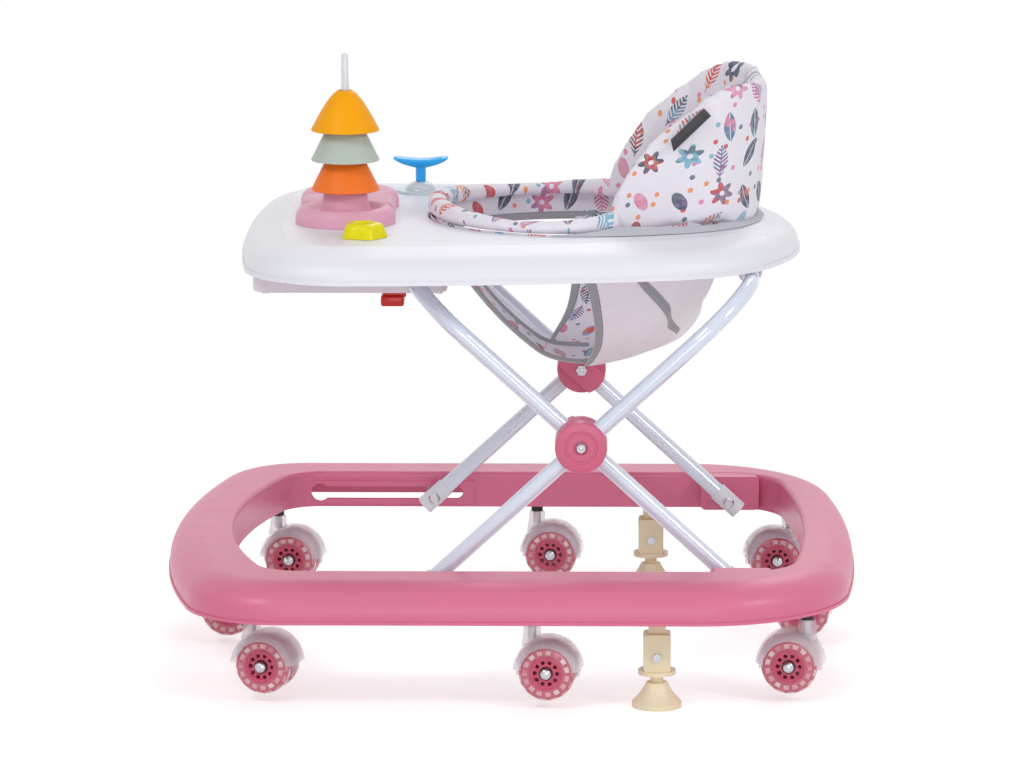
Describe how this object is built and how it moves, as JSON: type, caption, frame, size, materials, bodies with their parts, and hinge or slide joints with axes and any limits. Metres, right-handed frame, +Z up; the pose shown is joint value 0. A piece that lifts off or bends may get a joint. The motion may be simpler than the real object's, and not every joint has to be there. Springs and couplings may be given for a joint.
{
  "type": "baby walker",
  "caption": "Folding baby walker: rounded base ring on casters with swing-down stoppers, crossed tube legs, tray with stacking toys and a padded sling seat.",
  "frame": {"origin": "floor point below the centre of the whole walker's box, on the plane of the stopper soles", "axes": "+X from the front, where the toys are, to the backrest; +Y to the walker's right; +Z up"},
  "size_m": [0.6809, 0.632, 0.601],
  "materials": {
    "base_pink": "satin",
    "hub_pink": "satin",
    "tube_white": "gloss powder coat",
    "tube_cap": "satin",
    "steel": "zinc plated",
    "black_plastic": "matte",
    "stopper_cream": "satin",
    "caster_hood": "satin translucent",
    "wheel_core": "gloss",
    "wheel_tyre": "clear",
    "tray_white": "gloss",
    "pan_white": "satin",
    "red_plastic": "gloss",
    "seat_fabric": "printed weave",
    "sling_fabric": "weave",
    "board_plastic": "matte",
    "dark_plastic": "matte",
    "toy_pink": "satin",
    "toy_clear": "translucent",
    "toy_orange": "satin",
    "toy_grey": "satin",
    "toy_yellow": "satin",
    "toy_blue": "translucent",
    "toy_lemon": "satin"
  },
  "bodies": {
    "base": {"base_ring": "base_pink", "caster_stems": "steel", "stem_bushes": "black_plastic", "stopper_brackets": "stopper_cream", "stopper_pins": "steel", "rear_pivot_bolts": "steel"},
    "stopper_near": {"stopper_leg_near": "stopper_cream"},
    "stopper_far": {"stopper_leg_far": "stopper_cream"},
    "inner_legs": {"inner_leg_tube": "tube_white", "inner_leg_end_caps": "tube_cap", "hub_inner_discs": "hub_pink"},
    "outer_legs": {"outer_leg_tube": "tube_white", "outer_leg_end_caps": "tube_cap", "hub_outer_discs": "hub_pink", "hub_bolts": "steel", "slide_pins": "steel"},
    "tray": {"tray_shell": "tray_white", "latch_pan": "pan_white", "height_racks": "pan_white", "rear_bar_clamps": "pan_white", "tray_screws": "steel", "seat_collar": "seat_fabric", "backrest_cover": "seat_fabric", "backrest_board": "board_plastic", "backrest_clips": "dark_plastic", "seat_sling": "sling_fabric", "toy_base": "toy_pink", "toy_post": "toy_clear", "spinner_base": "toy_clear"},
    "lever": {"release_lever": "red_plastic", "lever_spring": "steel"},
    "cup_low": {"cup_orange": "toy_orange"},
    "cup_middle": {"cup_grey": "toy_grey"},
    "cup_top": {"cup_yellow": "toy_yellow"},
    "spinner": {"spinner_rotor": "toy_blue"},
    "knob": {"turning_knob": "toy_lemon"},
    "caster_front_middle": {"caster_front_middle_hood": "caster_hood"},
    "wheels_front_middle": {"caster_front_middle_wheels": "wheel_core", "caster_front_middle_tyres": "wheel_tyre"},
    "caster_front_near": {"caster_front_near_hood": "caster_hood"},
    "wheels_front_near": {"caster_front_near_wheels": "wheel_core", "caster_front_near_tyres": "wheel_tyre"},
    "caster_front_far": {"caster_front_far_hood": "caster_hood"},
    "wheels_front_far": {"caster_front_far_wheels": "wheel_core", "caster_front_far_tyres": "wheel_tyre"},
    "caster_middle_near": {"caster_middle_near_hood": "caster_hood"},
    "wheels_middle_near": {"caster_middle_near_wheels": "wheel_core", "caster_middle_near_tyres": "wheel_tyre"},
    "caster_middle_far": {"caster_middle_far_hood": "caster_hood"},
    "wheels_middle_far": {"caster_middle_far_wheels": "wheel_core", "caster_middle_far_tyres": "wheel_tyre"},
    "caster_rear_near": {"caster_rear_near_hood": "caster_hood"},
    "wheels_rear_near": {"caster_rear_near_wheels": "wheel_core", "caster_rear_near_tyres": "wheel_tyre"},
    "caster_rear_far": {"caster_rear_far_hood": "caster_hood"},
    "wheels_rear_far": {"caster_rear_far_wheels": "wheel_core", "caster_rear_far_tyres": "wheel_tyre"},
    "caster_rear_middle": {"caster_rear_middle_hood": "caster_hood"},
    "wheels_rear_middle": {"caster_rear_middle_wheels": "wheel_core", "caster_rear_middle_tyres": "wheel_tyre"}
  },
  "joints": [
    {"name": "fold", "type": "hinge", "parent": "base", "child": "inner_legs", "pos_m": [0.221, 0, 0.104], "axis": [0, 1, 0], "range_deg": [-37.5, 2]},
    {"name": "leg_cross", "type": "hinge", "parent": "inner_legs", "child": "outer_legs", "pos_m": [0.06912, 0, 0.24317], "axis": [0, 1, 0], "range_deg": [-4, 75]},
    {"name": "tray_level", "type": "hinge", "parent": "outer_legs", "child": "tray", "pos_m": [0.2328, 0, 0.39315], "axis": [0, 1, 0], "range_deg": [-37.5, 2]},
    {"name": "stopper_near_fold", "type": "hinge", "parent": "base", "child": "stopper_near", "pos_m": [0.142, -0.267, 0.05], "axis": [0, -1, 0], "range_deg": [0, 90]},
    {"name": "stopper_far_fold", "type": "hinge", "parent": "base", "child": "stopper_far", "pos_m": [0.142, 0.267, 0.05], "axis": [0, -1, 0], "range_deg": [0, 90]},
    {"name": "lever_slide", "type": "slide", "parent": "tray", "child": "lever", "axis": [-1, 0, 0], "range_m": [0, 0.008], "stiffness_N_per_m": 200},
    {"name": "cup_low_lift", "type": "slide", "parent": "tray", "child": "cup_low", "axis": [0, 0, 1], "range_m": [0, 0.03]},
    {"name": "cup_middle_lift", "type": "slide", "parent": "cup_low", "child": "cup_middle", "axis": [0, 0, 1], "range_m": [0, 0.03]},
    {"name": "cup_top_lift", "type": "slide", "parent": "cup_middle", "child": "cup_top", "axis": [0, 0, 1], "range_m": [0, 0.06]},
    {"name": "spinner_turn", "type": "hinge", "parent": "tray", "child": "spinner", "pos_m": [-0.094, 0.146, 0.43395], "axis": [0, 0, 1], "continuous": true},
    {"name": "knob_turn", "type": "hinge", "parent": "tray", "child": "knob", "pos_m": [-0.141, -0.146, 0.43395], "axis": [0, 0, 1], "continuous": true},
    {"name": "swivel_front_middle", "type": "hinge", "parent": "base", "child": "caster_front_middle", "pos_m": [-0.3, 0, 0.079], "axis": [0, 0, 1], "continuous": true},
    {"name": "roll_front_middle", "type": "hinge", "parent": "caster_front_middle", "child": "wheels_front_middle", "pos_m": [-0.28465, 0.00216, 0.036], "axis": [0.1392, -0.9903, 0], "continuous": true},
    {"name": "swivel_front_near", "type": "hinge", "parent": "base", "child": "caster_front_near", "pos_m": [-0.246, -0.24, 0.079], "axis": [0, 0, 1], "continuous": true},
    {"name": "roll_front_near", "type": "hinge", "parent": "caster_front_near", "child": "wheels_front_near", "pos_m": [-0.23118, -0.24453, 0.036], "axis": [-0.2924, -0.9563, 0], "continuous": true},
    {"name": "swivel_front_far", "type": "hinge", "parent": "base", "child": "caster_front_far", "pos_m": [-0.246, 0.24, 0.079], "axis": [0, 0, 1], "continuous": true},
    {"name": "roll_front_far", "type": "hinge", "parent": "caster_front_far", "child": "wheels_front_far", "pos_m": [-0.23078, 0.23704, 0.036], "axis": [-0.1908, -0.9816, 0], "continuous": true},
    {"name": "swivel_middle_near", "type": "hinge", "parent": "base", "child": "caster_middle_near", "pos_m": [0.023, -0.267, 0.079], "axis": [0, 0, 1], "continuous": true},
    {"name": "roll_middle_near", "type": "hinge", "parent": "caster_middle_near", "child": "wheels_middle_near", "pos_m": [0.03838, -0.26889, 0.036], "axis": [-0.1219, -0.9925, 0], "continuous": true},
    {"name": "swivel_middle_far", "type": "hinge", "parent": "base", "child": "caster_middle_far", "pos_m": [0.023, 0.267, 0.079], "axis": [0, 0, 1], "continuous": true},
    {"name": "roll_middle_far", "type": "hinge", "parent": "caster_middle_far", "child": "wheels_middle_far", "pos_m": [0.03844, 0.26565, 0.036], "axis": [-0.0872, -0.9962, 0], "continuous": true},
    {"name": "swivel_rear_near", "type": "hinge", "parent": "base", "child": "caster_rear_near", "pos_m": [0.286, -0.24, 0.079], "axis": [0, 0, 1], "continuous": true},
    {"name": "roll_rear_near", "type": "hinge", "parent": "caster_rear_near", "child": "wheels_rear_near", "pos_m": [0.27065, -0.23784, 0.036], "axis": [0.1392, 0.9903, 0], "continuous": true},
    {"name": "swivel_rear_far", "type": "hinge", "parent": "base", "child": "caster_rear_far", "pos_m": [0.286, 0.24, 0.079], "axis": [0, 0, 1], "continuous": true},
    {"name": "roll_rear_far", "type": "hinge", "parent": "caster_rear_far", "child": "wheels_rear_far", "pos_m": [0.27058, 0.23838, 0.036], "axis": [-0.1045, 0.9945, 0], "continuous": true},
    {"name": "swivel_rear_middle", "type": "hinge", "parent": "base", "child": "caster_rear_middle", "pos_m": [0.305, 0, 0.079], "axis": [0, 0, 1], "continuous": true},
    {"name": "roll_rear_middle", "type": "hinge", "parent": "caster_rear_middle", "child": "wheels_rear_middle", "pos_m": [0.28954, -0.00108, 0.036], "axis": [-0.0698, 0.9976, 0], "continuous": true}
  ],
  "couplings": [
    {"joint": "leg_cross", "follows": "fold", "ratio": -2},
    {"joint": "tray_level", "follows": "fold", "ratio": 1}
  ]
}
